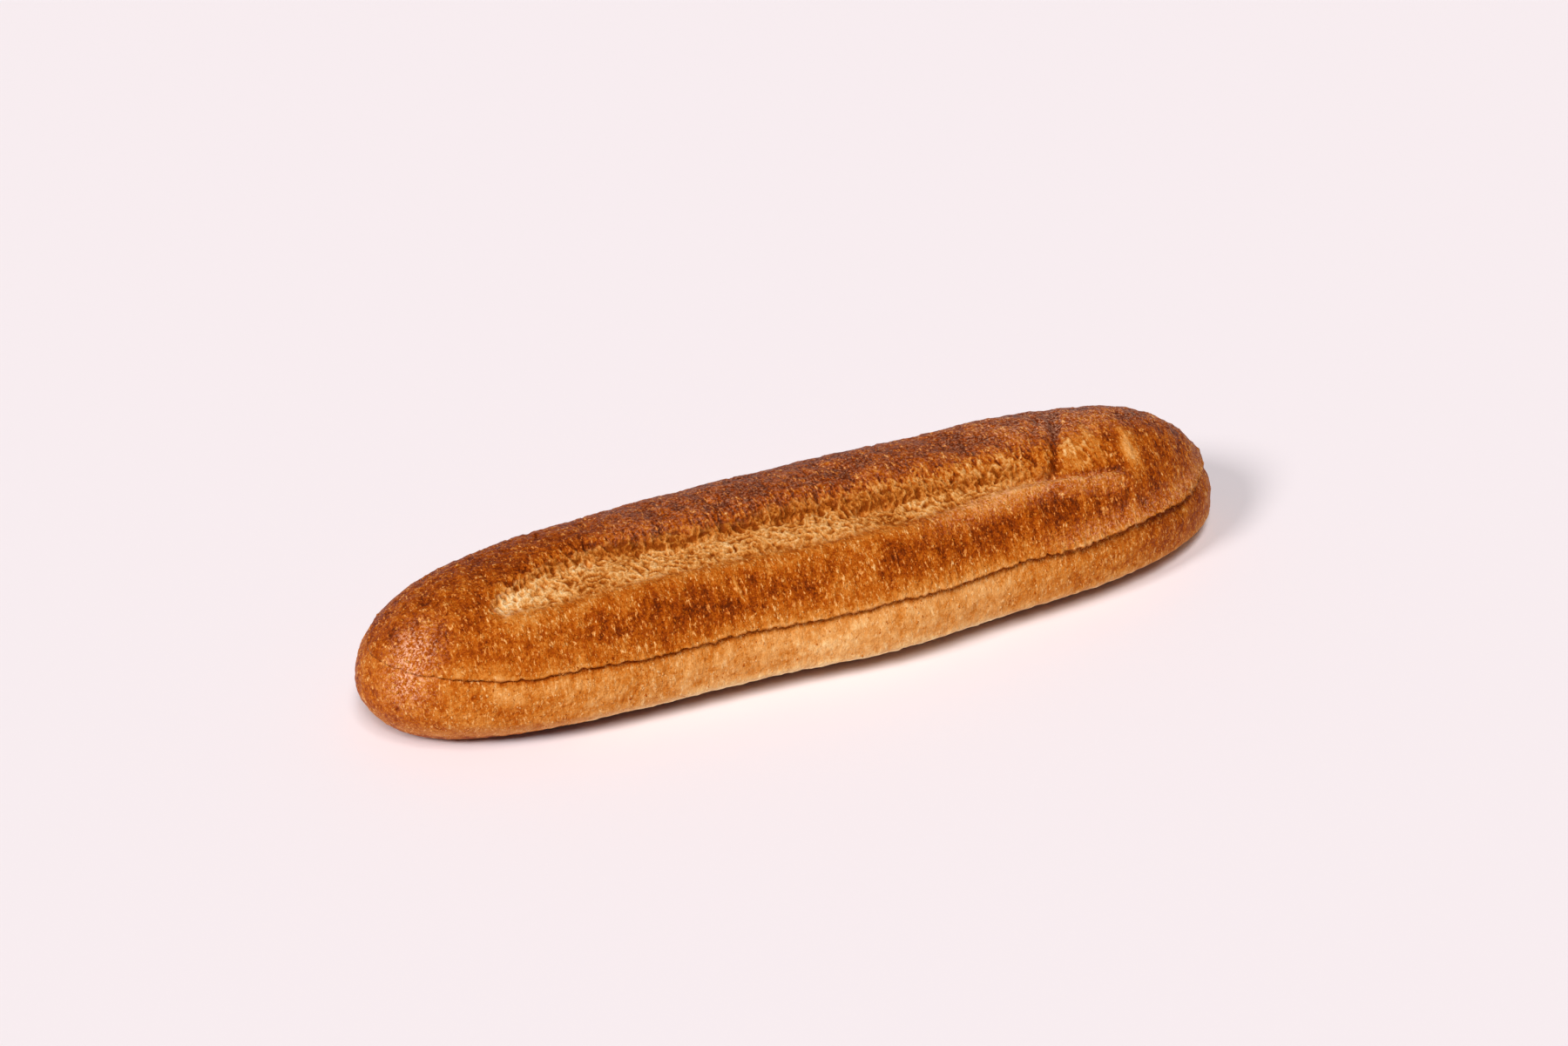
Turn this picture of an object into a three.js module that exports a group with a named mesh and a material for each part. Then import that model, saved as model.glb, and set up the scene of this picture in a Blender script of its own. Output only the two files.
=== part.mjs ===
// A wholemeal sub roll: one long soft loaf, slashed along its top before baking and cut open along
// one side. Millimetres. X runs along the loaf, -Y is the side with the cut, +Y the side where the
// two halves stay joined, +Z is up. The origin is the middle of the underside.
//
// The skin is laid out like the ribs of a basket. A line of centres runs inside the loaf from one
// end's focus to the other's. From it a spoke goes out to every point of the plan outline: square to
// the length along the body, and fanned out round each end. Each spoke carries one rib of rings,
// from the middle of the sole, round the belly, past the side cut and up to the crown.
import * as THREE from "three";

// ---- Driving dimensions ----------------------------------------------------------------------

const LENGTH = 290;
const WIDTH = 78.6;
const BELLY_HEIGHT = 9.4; // the widest level, low down, as dough settles on its tray
const CROWN_HEIGHT = 45.7;

// Each end has its own shape: the left one is the blunter in plan and droops more, the right one
// lifts a little off the tray.
const LEFT = { focus: 51, round: 4.3, fill: 1.9, droop: 0.21, bellyRise: 4.5, soleSpread: 0.22, lift: 0 };
const RIGHT = { focus: 48, round: 3.7, fill: 1.95, droop: 0.03, bellyRise: -2.4, soleSpread: 0.02, lift: 1.7 };
const DROOP_POWER = 2.5;
const BELLY_POWER = 3;
const LIFT_FROM = 60; // distance from the middle at which an end starts to lift
const LIFT_POWER = 1.5;

const UPPER_ROUNDNESS = 2.15; // superellipse power of the dome; 2 is an ellipse
const LOWER_ROUNDNESS = 1.4; // below 2 the lower corner is cut more like a bevel
const SOLE_SHARE = 0.585; // sole's half width over the half width at the belly

// The roll stands on a flat six-cornered spot; round it the sole clears the tray by a hair. Its
// sides bow in by a power above 1, so that only its corners stand out.
const REST = { from: -86, middle: -8.4, to: 59, endHalfWidth: 20, middleHalfWidth: 23, bow: 1.5 };
const CLEARANCE = 0.4;

const SPINE_BOW = -1.1; // how far the spine bends towards -Y at the ends
const SPINE_SKEW = 2.5; // how far it leans to +Y at the right end and to -Y at the left
const SIDE_BULGE = { x: 14, size: 3.4, spread: 28 }; // the cut side swells near the middle

// The slash on top has opened into a long trough with a soft rim on the near side and a bulging
// wall up to the ridge on the far side. Each line gives, along the loaf, how far it lies from the
// spine towards -Y, and the last one how deep the trough is at the foot of its wall.
const RIM_LINE = [[-108, 20], [-84, 22.6], [-40, 23.8], [0, 26.3], [32, 26.2], [72, 22], [104, 23]];
const FOOT_LINE = [
  [-104, 12], [-84, 4.2], [-66, 3.5], [-42, 7.6], [0, 7.6], [18, 12.6], [48, 14], [72, 17], [92, 19.5],
];
const WALL_TOP_LINE = [[-105, 7], [-90, -1], [-72, -6], [-30, -2], [20, -3], [64, 0], [96, -3], [112, 7]];
const TROUGH_DEPTH = [[-110, 0], [-98, 2.2], [-60, 3.8], [10, 4], [60, 3], [92, 1.6], [112, 0]];
const RIM = { width: 6, drop: 0.25, raise: 0.5, crest: 1.6, spread: 2.6 }; // drop: share of the depth
const RIM_RAISED_FROM = 2; // a trough at least this deep has its rim fully raised
const SLASHED_ABOVE = { from: 4, fully: 10 }; // heights over the cut between which the slash sets in

// The side cut: a level knife cut round the near side and both ends, closed again but for a line.
const CUT = { height: 24.3, rightFall: 0.3, leftRise: 2.8, wobble: 0.35, wobbleLength: 47 };
const CUT_MOUTH = 0.8;
const CUT_DEPTH = 3.4;
const CUT_OVERHANG = { proud: 0.5, fades: 5 }; // the upper half stands proud over this height
const CUT_SETBACK = [[-140, 0.2], [-90, 0.6], [60, 0.9], [125, 1.7]]; // the lower half rounds in
const SETBACK_FADES = 8;
const CREASED_TO = -134; // left of this the crust is only creased
const CUT_FROM = -122; // right of this it is cut to the full depth
const CREASE_DEPTH = 1.1;
const HINGE_FROM = 132; // on the joined side the cut dies away inwards of this distance from the middle

// Creases across the dark ridge, where the crust has wrinkled: place, lean, depth and half width.
const RIDGE_CREASES = [
  { x: -43, lean: 0.3, depth: 0.8, spread: 3.5 },
  { x: -25, lean: 0.2, depth: 1.1, spread: 3.2 },
  { x: 18, lean: 0.3, depth: 0.8, spread: 4 },
  { x: 54, lean: 0.3, depth: 0.8, spread: 4 },
  { x: 87, lean: -0.4, depth: 1.4, spread: 4.2 },
  { x: 100, lean: -0.2, depth: 0.9, spread: 4 },
];
const CREASED_BAND = { across: -6, spread: 14 };
const SKIN_UNEVENNESS = 0.5; // how far the crust wanders in and out
const SKIN_PATCH = 13; // size of one such swelling

// ---- Mesh density ----------------------------------------------------------------------------

const END_SPOKES = 14;
const BODY_SPOKES = 58;
const SOLE_RINGS = 4;
const CORNER_RINGS = 5;
const BELLY_RINGS = 3;
const SHOULDER_RINGS = 5;
const RIM_RINGS = 3;
const FLOOR_RINGS = 3;
const WALL_RINGS = 4;
const RIM_LEG = 0.4; // the closer rings of the rim take this share of the way to the foot
const LINE_REACH = [0.03, 0.8]; // a rib keeps its rings between these shares of its length

// ---- Small helpers -----------------------------------------------------------------------------

const HALF = LENGTH / 2;
const mix = THREE.MathUtils.lerp;
const clamp = THREE.MathUtils.clamp;
const smooth = THREE.MathUtils.smoothstep;
const bell = (t) => Math.exp(-t * t);
const endOf = (x) => (x < 0 ? LEFT : RIGHT);

// A smooth curve through a line's [x, value] knots, level beyond its first and last.
function along(x, knots) {
  const last = knots.length - 1;
  const at = clamp(x, knots[0][0], knots[last][0]);
  const i = Math.min(knots.findLastIndex((knot) => knot[0] <= at), last - 1);
  const slope = (k) => {
    const [before, after] = [knots[Math.max(k - 1, 0)], knots[Math.min(k + 1, last)]];
    return (after[1] - before[1]) / (after[0] - before[0]);
  };
  const step = knots[i + 1][0] - knots[i][0];
  const u = (at - knots[i][0]) / step;
  const bow = step * u * (1 - u) * ((1 - u) * slope(i) - u * slope(i + 1));
  return mix(knots[i][1], knots[i + 1][1], smooth(u, 0, 1)) + bow;
}

// Repeatable value noise in three dimensions, from -1 to 1.
function hash(i, j, k) {
  const h = Math.sin(i * 127.1 + j * 311.7 + k * 74.7) * 43758.5453;
  return 2 * (h - Math.floor(h)) - 1;
}

function noise(x, y, z) {
  const [i, j, k] = [x, y, z].map(Math.floor);
  const [u, v, w] = [x - i, y - j, z - k].map((t) => t * t * (3 - 2 * t));
  const edge = (b, c) => mix(hash(i, j + b, k + c), hash(i + 1, j + b, k + c), u);
  return mix(mix(edge(0, 0), edge(1, 0), v), mix(edge(0, 1), edge(1, 1), v), w);
}

// ---- The plain loaf ----------------------------------------------------------------------------

const spineAt = (x) => SPINE_BOW * ((x / HALF) ** 2 - 1 / 3) + SPINE_SKEW * (x / HALF) ** 3;

function halfWidth(x, side) {
  const end = endOf(x);
  const plain = (WIDTH / 2) * Math.max(1 - Math.abs(x / HALF) ** end.round, 0) ** (1 / end.fill);
  const bulge = side < 0 ? SIDE_BULGE.size * bell((x - SIDE_BULGE.x) / SIDE_BULGE.spread) : 0;
  return plain + bulge * smooth(plain, 0, WIDTH / 4);
}

function crownHeight(x) {
  const rise = CROWN_HEIGHT - BELLY_HEIGHT;
  return BELLY_HEIGHT + rise * (1 - endOf(x).droop * Math.abs(x / HALF) ** DROOP_POWER);
}

const liftAt = (x) => endOf(x).lift * smooth(Math.abs(x), LIFT_FROM, HALF) ** LIFT_POWER;

// Half width of the flat spot.
function restHalfWidth(x) {
  const span = x < REST.middle ? REST.middle - REST.from : REST.to - REST.middle;
  const share = 1 - Math.abs(x - REST.middle) / span;
  return mix(REST.endHalfWidth, REST.middleHalfWidth, share ** REST.bow);
}

// One spoke: where it starts and ends in plan, and the levels along its rib.
function spoke(x, side) {
  const end = endOf(x);
  const far = Math.abs(x / HALF) ** BELLY_POWER;
  const centre = clamp(x, LEFT.focus - HALF, HALF - RIGHT.focus);
  return {
    x,
    side,
    centre,
    centreY: spineAt(centre),
    outY: spineAt(x) + side * halfWidth(x, side),
    reach: Math.max(halfWidth(x, side), Math.abs(x - centre)),
    belly: BELLY_HEIGHT + end.bellyRise * far,
    crown: crownHeight(centre),
    sole: SOLE_SHARE + end.soleSpread * far,
  };
}

const domeHeight = (s, rho) =>
  s.belly + (s.crown - s.belly) * Math.max(1 - rho ** UPPER_ROUNDNESS, 0) ** (1 / UPPER_ROUNDNESS);

function domeReach(s, z) {
  const up = clamp((z - s.belly) / (s.crown - s.belly), 0, 1);
  return (1 - up ** UPPER_ROUNDNESS) ** (1 / UPPER_ROUNDNESS);
}

// ---- The slash on top --------------------------------------------------------------------------

// How far the surface lies below the plain dome: a raised rim, a falling floor, then a wall that
// starts steep at its foot and rounds over into the ridge.
function slashDrop(x, across) {
  const depth = along(x, TROUGH_DEPTH);
  const [rim, foot, top] = [RIM_LINE, FOOT_LINE, WALL_TOP_LINE].map((line) => along(x, line));
  const inside = rim - across;
  const overRim = RIM.drop * smooth(inside, 0, RIM.width);
  const floor = overRim + (1 - RIM.drop) * smooth(inside, 0, rim - foot);
  const upWall = clamp((foot - across) / (foot - top), 0, 1);
  const raised = RIM.raise * bell((inside - RIM.crest) / RIM.spread) * clamp(depth / RIM_RAISED_FROM, 0, 1);
  return depth * floor * (1 - upWall) ** 2 - raised;
}

// ---- The cut along the side --------------------------------------------------------------------

function cutHeight(x) {
  const share = x / HALF;
  const wave = CUT.wobble * Math.sin((2 * Math.PI * x) / CUT.wobbleLength);
  return CUT.height - CUT.rightFall * share + CUT.leftRise * Math.max(-share, 0) ** 3 + wave;
}

// 1 where the crust is cut, 0 on the joined side.
const cutShare = (x, side) => (side < 0 ? 1 : smooth(Math.abs(x), HINGE_FROM, HALF));

// How far the skin is let in at a height above or below the cut, outside the cut itself.
function tuckIn(x, side, above) {
  const mouth = CUT_MOUTH / 2;
  const over = CUT_OVERHANG.proud * (1 - smooth(above, mouth, CUT_OVERHANG.fades));
  const under = along(x, CUT_SETBACK) * (1 - smooth(-above, mouth, SETBACK_FADES));
  return cutShare(x, side) * (above < 0 ? under : -over);
}

function cutDepth(x, side) {
  const full = mix(CREASE_DEPTH, CUT_DEPTH, smooth(x, CREASED_TO, CUT_FROM));
  return full * cutShare(x, side);
}

// ---- One rib of rings --------------------------------------------------------------------------

// On the near side the upper rings follow the slash; on the far side they are evenly spread. Both
// blend into one another round the ends.
function upperRings(s, first) {
  const body = spoke(s.centre, -1);
  const share = (line) => clamp(along(s.centre, line) / body.reach, ...LINE_REACH);
  const rim = share(RIM_LINE);
  const foot = share(FOOT_LINE);
  const rimEnd = mix(rim, foot, RIM_LEG);
  const legs = [[first, rim, SHOULDER_RINGS], [rim, rimEnd, RIM_RINGS]];
  legs.push([rimEnd, foot, FLOOR_RINGS], [foot, 0, WALL_RINGS]);
  const near = legs.flatMap(([from, to, n]) => Array.from({ length: n }, (_, i) => mix(from, to, i / n)));
  near.push(0);
  const even = near.map((_, i) => mix(first, 0, i / (near.length - 1)));
  const round = smooth(Math.abs(s.x - s.centre) / (HALF - Math.abs(s.centre)), 0, 1);
  const blend = s.side < 0 ? round / 2 : 1 - round / 2;
  return near.map((rho, i) => mix(rho, even[i], blend));
}

// A ring is { rho, z, inward }: its share of the way out, its height, and how far it is let in.
function ribOf(s) {
  const rings = [];
  const ring = (rho, z, inward = 0) => rings.push({ rho, z, inward });

  const stands = s.x >= REST.from && s.x <= REST.to;
  const edge = stands ? restHalfWidth(s.x) / s.reach : s.sole * (1 - 1 / SOLE_RINGS);
  for (let i = 0; i < SOLE_RINGS; i++) {
    ring((edge * i) / (SOLE_RINGS - 1), stands ? 0 : CLEARANCE);
  }
  for (let i = 0; i < CORNER_RINGS; i++) {
    const a = (Math.PI / 2) * (1 - i / CORNER_RINGS);
    const out = Math.cos(a) ** (2 / LOWER_ROUNDNESS);
    const down = Math.sin(a) ** (2 / LOWER_ROUNDNESS);
    ring(mix(s.sole, 1, out), mix(s.belly, CLEARANCE, down));
  }

  const cut = cutHeight(s.x);
  const side = (z, inward = tuckIn(s.x, s.side, z - cut)) => ring(domeReach(s, z), z, inward);
  const below = cut - SETBACK_FADES / 2;
  for (let i = 0; i < BELLY_RINGS; i++) side(mix(s.belly, below, i / BELLY_RINGS));
  side(below);
  side(cut - SETBACK_FADES / 4);
  side(cut - CUT_MOUTH / 2);
  side(cut, cutDepth(s.x, s.side));
  side(cut + CUT_MOUTH / 2);
  side(cut + CUT_OVERHANG.fades / 3);

  const first = domeReach(s, cut + CUT_OVERHANG.fades);
  for (const rho of upperRings(s, first)) ring(rho, domeHeight(s, rho));
  return rings;
}

// Where a ring of a spoke lies, with the slash, the creases and the crust's unevenness.
function place(s, r) {
  const out = r.rho - r.inward / s.reach;
  const x = mix(s.centre, s.x, out);
  const y = mix(s.centreY, s.outY, out);
  const across = spineAt(x) - y;
  const over = r.z - CUT.height;
  const upper = smooth(over, SLASHED_ABOVE.from, SLASHED_ABOVE.fully);
  const lower = 1 - smooth(r.z, 0, s.belly);
  let z = r.z + lower * liftAt(x) - upper * slashDrop(x, across);
  const creased = upper * bell((across - CREASED_BAND.across) / CREASED_BAND.spread);
  for (const crease of RIDGE_CREASES) {
    z -= creased * crease.depth * bell((x - crease.x - crease.lean * across) / crease.spread);
  }
  const swell = SKIN_UNEVENNESS * noise(x / SKIN_PATCH, y / SKIN_PATCH, z / SKIN_PATCH);
  const free = r.rho * smooth(r.z, 1, s.belly);
  return [x, y + s.side * swell * free, z + swell * upper];
}

// ---- The skin ----------------------------------------------------------------------------------

function stations() {
  const xs = [];
  const round = (i) => 1 - Math.cos((Math.PI / 2) * (i / END_SPOKES));
  for (let i = 0; i < END_SPOKES; i++) xs.push(LEFT.focus * round(i) - HALF);
  for (let i = 0; i < BODY_SPOKES; i++) {
    xs.push(mix(LEFT.focus - HALF, HALF - RIGHT.focus, i / BODY_SPOKES));
  }
  for (let i = END_SPOKES; i >= 0; i--) xs.push(HALF - RIGHT.focus * round(i));
  return xs;
}

function loafGeometry() {
  const xs = stations();
  const last = xs.length - 1;
  const ribs = [-1, 1].map((side) =>
    xs.map((x) => {
      const s = spoke(x, side);
      return { s, rings: ribOf(s) };
    })
  );
  const top = ribs[0][0].rings.length - 1;
  const points = [];
  const known = new Map();

  // Both sides share the tips and the line of centres, and a fan's spokes share their focus.
  function vertex(side, i, j) {
    const middle = j === 0 || j === top;
    const station = middle ? clamp(i, END_SPOKES, last - END_SPOKES) : i;
    const half = middle || i === 0 || i === last ? 0 : side;
    const key = `${half},${station},${j}`;
    if (!known.has(key)) {
      const { s, rings } = ribs[half][station];
      known.set(key, points.length / 3);
      points.push(...place(s, rings[j]));
    }
    return known.get(key);
  }

  const faces = [];
  const face = (a, b, c) => {
    if (a !== b && b !== c && c !== a) faces.push(a, b, c);
  };
  for (const side of [0, 1]) {
    for (let i = 0; i < last; i++) {
      for (let j = 0; j < top; j++) {
        const [a, b] = [vertex(side, i, j), vertex(side, i + 1, j)];
        const [c, d] = [vertex(side, i + 1, j + 1), vertex(side, i, j + 1)];
        if (side === 0) {
          face(a, b, c);
          face(a, c, d);
        } else {
          face(a, c, b);
          face(a, d, c);
        }
      }
    }
  }

  const geometry = new THREE.BufferGeometry();
  geometry.setAttribute("position", new THREE.Float32BufferAttribute(points, 3));
  geometry.setIndex(faces);
  geometry.computeBoundingBox();
  const box = geometry.boundingBox;
  const middle = box.getCenter(new THREE.Vector3());
  geometry.translate(-middle.x, -middle.y, -box.min.z);
  geometry.computeVertexNormals();
  return geometry;
}

const crust = new THREE.MeshStandardMaterial({ color: 0xa8602a, roughness: 0.62, metalness: 0 });

const roll = new THREE.Mesh(loafGeometry(), crust);
roll.name = "roll";

const group = new THREE.Group();
group.add(roll);

export default group;
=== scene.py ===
# %% [markdown]
# # A wholemeal sub roll
#
# A sub roll is one long soft loaf. It is slashed along its top before baking, so that it tears open
# there in the oven, and it is cut level round one side afterwards so that it can be opened and
# filled. This lesson builds its crust as one closed skin, roughens the skin as the oven does, and
# then colours it with finishes made only of nodes.
#
# Sizes are worked out in millimetres, as a baker would give them, and become metres at the end.

import bpy
import numpy as np
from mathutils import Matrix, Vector


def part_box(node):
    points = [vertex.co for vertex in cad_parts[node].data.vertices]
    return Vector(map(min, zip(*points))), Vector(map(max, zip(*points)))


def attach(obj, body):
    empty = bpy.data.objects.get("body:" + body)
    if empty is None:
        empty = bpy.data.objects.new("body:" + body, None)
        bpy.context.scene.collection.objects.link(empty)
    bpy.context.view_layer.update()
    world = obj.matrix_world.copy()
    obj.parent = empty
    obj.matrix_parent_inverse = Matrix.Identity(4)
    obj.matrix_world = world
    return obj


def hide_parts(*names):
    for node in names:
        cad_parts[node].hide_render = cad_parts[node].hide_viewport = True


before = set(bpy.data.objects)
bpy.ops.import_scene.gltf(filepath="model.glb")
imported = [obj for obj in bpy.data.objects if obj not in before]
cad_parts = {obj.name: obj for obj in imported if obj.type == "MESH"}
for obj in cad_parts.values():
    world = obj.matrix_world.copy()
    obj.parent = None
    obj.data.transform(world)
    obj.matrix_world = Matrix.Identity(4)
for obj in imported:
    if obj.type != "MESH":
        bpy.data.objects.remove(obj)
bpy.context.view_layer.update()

MM = 0.001

# %% [markdown]
# ## Where the viewer stands
#
# A food picture is often taken from a chair: the lens looks down at about a third of a right angle.
# The roll lies a little askew in the picture, its left end nearer. The camera is put in first, so
# that every step after it can be compared with the picture. A short telephoto lens keeps the two
# ends nearly the same size. The camera could be aimed with a tracking constraint; here its turn is
# worked out once, so that nothing else in the file has to hold it.

# %% The camera
STAND = Vector((-0.3951, -0.8695, 0.6542))
AIM = Vector((0.01657, 0.05000, 0))


def new_object(name, data):
    """An object with that name, put into the scene."""
    thing = bpy.data.objects.new(name, data)
    bpy.context.scene.collection.objects.link(thing)
    return thing


camera = new_object("camera", bpy.data.cameras.new("camera"))
camera.data.lens = 85
camera.data.sensor_width = 36
camera.location = STAND
camera.rotation_euler = (AIM - STAND).to_track_quat("-Z", "Y").to_euler()
bpy.context.scene.camera = camera
print("the camera is", round((AIM - STAND).length, 3), "m from its aim")

# %% [markdown]
# ## Small tools for shaping dough
#
# Dough has no straight lines. Most of its forms are soft steps, bells and curves through a few
# measured places, so these are written once as small functions on whole arrays of points.

# %% Steps, bells and curves through knots
def mix(a, b, t):
    return a + (b - a) * t


def smooth(t, low, high):
    u = np.clip((t - low) / (high - low), 0, 1)
    return u * u * (3 - 2 * u)


def bell(t):
    return np.exp(-t * t)


def unit(vectors):
    """Each row made one long."""
    return vectors / np.maximum(np.linalg.norm(vectors, axis=1), 1e-9)[:, None]


def along(x, knots):
    """A smooth curve through [x, value] knots, level beyond its first and last."""
    at, value = np.array(knots, float).T
    step = np.diff(at)
    reach = np.concatenate([[step[0]], at[2:] - at[:-2], [step[-1]]])
    rise = np.concatenate([[value[1] - value[0]], value[2:] - value[:-2], [value[-1] - value[-2]]])
    slope = rise / reach
    x = np.clip(x, at[0], at[-1])
    i = np.clip(np.searchsorted(at, x, side="right") - 1, 0, len(step) - 1)
    u = (x - at[i]) / step[i]
    bow = step[i] * u * (1 - u) * ((1 - u) * slope[i] - u * slope[i + 1])
    return mix(value[i], value[i + 1], u * u * (3 - 2 * u)) + bow


print("halfway between the knots:", along(np.array([5.0]), [[0, 0], [10, 1], [20, 1]]))

# %% [markdown]
# The last tool is a repeatable noise: a lattice of random slopes with smooth hills between, the
# classic way to imitate anything that grew or baked. Its seed makes it come out the same each time.
# Blender has noise of its own, but written out here it works on all the points at once.

# %% Repeatable noise
def lattice(seed):
    dice = np.random.default_rng(seed)
    slopes = unit(dice.normal(size=(256, 3)))
    return dice.permutation(256), slopes


LATTICES = {seed: lattice(seed) for seed in range(12)}


def hills(points, size, seed=0):
    """Soft hills and hollows from about -1 to 1, each about `size` across."""
    shuffle, slopes = LATTICES[seed]
    q = points / size
    cell = np.floor(q).astype(int)
    f = q - cell
    fade = f * f * f * (f * (f * 6 - 15) + 10)
    total = np.zeros(q.shape[:-1])
    for corner in np.ndindex(2, 2, 2):
        place = (cell + corner) & 255
        pick = shuffle[place[..., 0]] + place[..., 1]
        pick = shuffle[pick & 255] + place[..., 2]
        pick = shuffle[pick & 255]
        height = (slopes[pick] * (f - corner)).sum(-1)
        share = np.where(np.array(corner) == 1, fade, 1 - fade).prod(-1)
        total += height * share
    return 1.6 * total


def rough(points, size, octaves, seed=0):
    """Hills with smaller hills on them, each layer half the size and half the height."""
    layers = [hills(points + 17.3 * k, size / 2**k, seed) / 2**k for k in range(octaves)]
    return sum(layers)


def ridged(points, size, octaves, seed=0):
    """Sharp little crests between round hollows, from 0 to 1."""
    folded = [1 - np.abs(hills(points + 9.1 * k, size / 2**k, seed)) for k in range(octaves)]
    layers = [layer / 2**k for k, layer in enumerate(folded)]
    return sum(layers) / (2 - 0.5 ** (octaves - 1))


print("noise test:", np.round(rough(np.array([[1.5, 2.5, 3.5]]), 4, 3), 3))

# %% [markdown]
# ## The plain loaf
#
# Before the oven tears it, a roll is a simple form: a dome on a flat sole. The dough settles, so it
# is widest low down, and its lower corner is tucked under. A line of centres runs inside from one
# end to the other. Spokes go out from it to the outline, square to the length along the body and
# fanned out round each end, and each spoke carries a rib of rings from the sole up to the crown.
# It could be sculpted from a capsule, but ribs that know where they are make it easy to lay the
# slash and the cut along them.

# %% Sizes of the plain loaf
LENGTH, WIDTH = 290, 78.6
HALF = LENGTH / 2
BELLY_HEIGHT, CROWN_HEIGHT = 9.4, 45.7
FOCI = (51 - HALF, HALF - 48)  # where the ends begin to fan
UPPER_ROUNDNESS, LOWER_ROUNDNESS, SOLE_SHARE = 2.15, 1.4, 0.585


def end_value(x, left, right):
    return np.where(x < 0, left, right)


def spine_at(x):
    return -1.1 * ((x / HALF) ** 2 - 1 / 3) + 2.5 * (x / HALF) ** 3


def half_width(x, side):
    inner = np.maximum(1 - np.abs(x / HALF) ** end_value(x, 4.3, 3.7), 0)
    plain = WIDTH / 2 * inner ** (1 / end_value(x, 1.9, 1.95))
    bulge = 3.4 * bell((x - 14) / 28) * (side < 0)
    return plain + bulge * smooth(plain, 0, WIDTH / 4)


def crown_height(x):
    droop = end_value(x, 0.21, 0.03) * np.abs(x / HALF) ** 2.5
    return BELLY_HEIGHT + (CROWN_HEIGHT - BELLY_HEIGHT) * (1 - droop)


def belly_height(x):
    return BELLY_HEIGHT + end_value(x, 4.5, -2.4) * np.abs(x / HALF) ** 3


def sole_share(x):
    return SOLE_SHARE + end_value(x, 0.22, 0.02) * np.abs(x / HALF) ** 3


def lift_at(x):
    return end_value(x, 0, 1.7) * smooth(np.abs(x), 60, HALF) ** 1.5


print("width in the middle:", round(float(half_width(0.0, -1) + half_width(0.0, 1)), 1), "mm")

# %% [markdown]
# ## The slash
#
# The baker's blade goes in along the top, slanting. In the oven the near flap stays put and keeps a
# soft rim, while the far side swells up and over. Between them lies a trough of torn crumb. Three
# lines say where it runs, measured from the spine towards the near side: the rim, the foot of the
# far wall, and the wall's top. The floor falls from the rim to the foot, and the wall starts steep
# and rounds over.

# %% Lines of the slash
RIM_LINE = [[-108, 20], [-84, 22.6], [-40, 23.8], [0, 26.3], [32, 26.2], [72, 22], [104, 23]]
FOOT_LINE = [[-104, 12], [-84, 4.2], [-66, 3.5], [-42, 7.6], [0, 7.6], [18, 12.6], [48, 14]]
FOOT_LINE += [[72, 17], [92, 19.5]]
WALL_TOP_LINE = [[-105, 7], [-90, -1], [-72, -6], [-30, -2], [20, -3], [64, 0], [96, -3], [112, 7]]
TROUGH_DEPTH = [[-110, 0], [-98, 2.2], [-60, 3.8], [10, 4], [60, 3], [92, 1.6], [112, 0]]
RIM_WIDTH, RIM_DROP, RIM_RAISE = 6, 0.25, 0.5


def slash_place(x, across):
    """The trough's depth, how far inside the rim, and shares of the floor and the wall crossed."""
    depth = along(x, TROUGH_DEPTH)
    rim, foot, top = [along(x, line) for line in (RIM_LINE, FOOT_LINE, WALL_TOP_LINE)]
    inside = rim - across
    floor = np.clip(inside / (rim - foot), 0, 1)
    wall = np.clip((foot - across) / (foot - top), 0, 1)
    return depth, inside, floor, wall


def slash_drop(x, across):
    depth, inside, floor, wall = slash_place(x, across)
    over_rim = RIM_DROP * smooth(inside, 0, RIM_WIDTH)
    down = over_rim + (1 - RIM_DROP) * smooth(floor, 0, 1)
    raised = RIM_RAISE * bell((inside - 1.6) / 2.6) * np.clip(depth / 2, 0, 1)
    return depth * down * (1 - wall) ** 2 - raised


foot_drop = slash_drop(np.array(0.0), np.array(8.0))
print("the trough is", float(foot_drop.round(2)), "mm deep at its foot")

# %% [markdown]
# ## The cut along the side
#
# The slicing knife goes in level, a little above half height, from the near side and round both
# ends, and stops short of the far side so that the halves stay joined. Closed again, it shows as a
# thin ragged line. The upper half has dried a touch more and stands proud of it; the lower half
# rounds in beneath. The line wanders and its mouth opens and closes, as a cut in soft bread does. On
# the joined side the level goes on as the place where the crust changes colour.

# %% Lines of the cut
CUT_HEIGHT, CUT_DEPTH, CREASE_DEPTH = 24.3, 3.4, 1.1
CUT_SETBACK = [[-140, 0.2], [-90, 0.7], [60, 1.2], [120, 2.6]]
OVERHANG = [[-140, 0.3], [-100, 0.9], [60, 1.0], [115, 1.7], [138, 0.5]]
OVERHANG_FADES, SETBACK_FADES = 5, 8


def line_noise(x, size, seed):
    """Noise along the loaf that is the same at every height."""
    return hills(np.stack([x, 0 * x, 0 * x], -1), size, seed)


def cut_height(x):
    share = x / HALF
    wave = 0.35 * np.sin(2 * np.pi * x / 47)
    calmer = 1 - 0.55 * smooth(x, 40, 90)
    ragged = calmer * (0.45 * line_noise(x, 6.5, 3) + 0.52 * line_noise(x, 2.4, 4))
    ragged += 0.24 * line_noise(x, 1.4, 2)
    return CUT_HEIGHT - 0.3 * share + 2.8 * np.maximum(-share, 0) ** 3 + wave + ragged


def cut_mouth(x):
    """Half of the gap between the lips."""
    return 0.10 + 0.40 * smooth(line_noise(x, 7, 5), -0.4, 0.7)


def cut_share(x, side):
    """1 where the crust is cut, 0 on the joined side."""
    return smooth(np.abs(x), 132, HALF) if side > 0 else np.ones_like(x)


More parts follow.
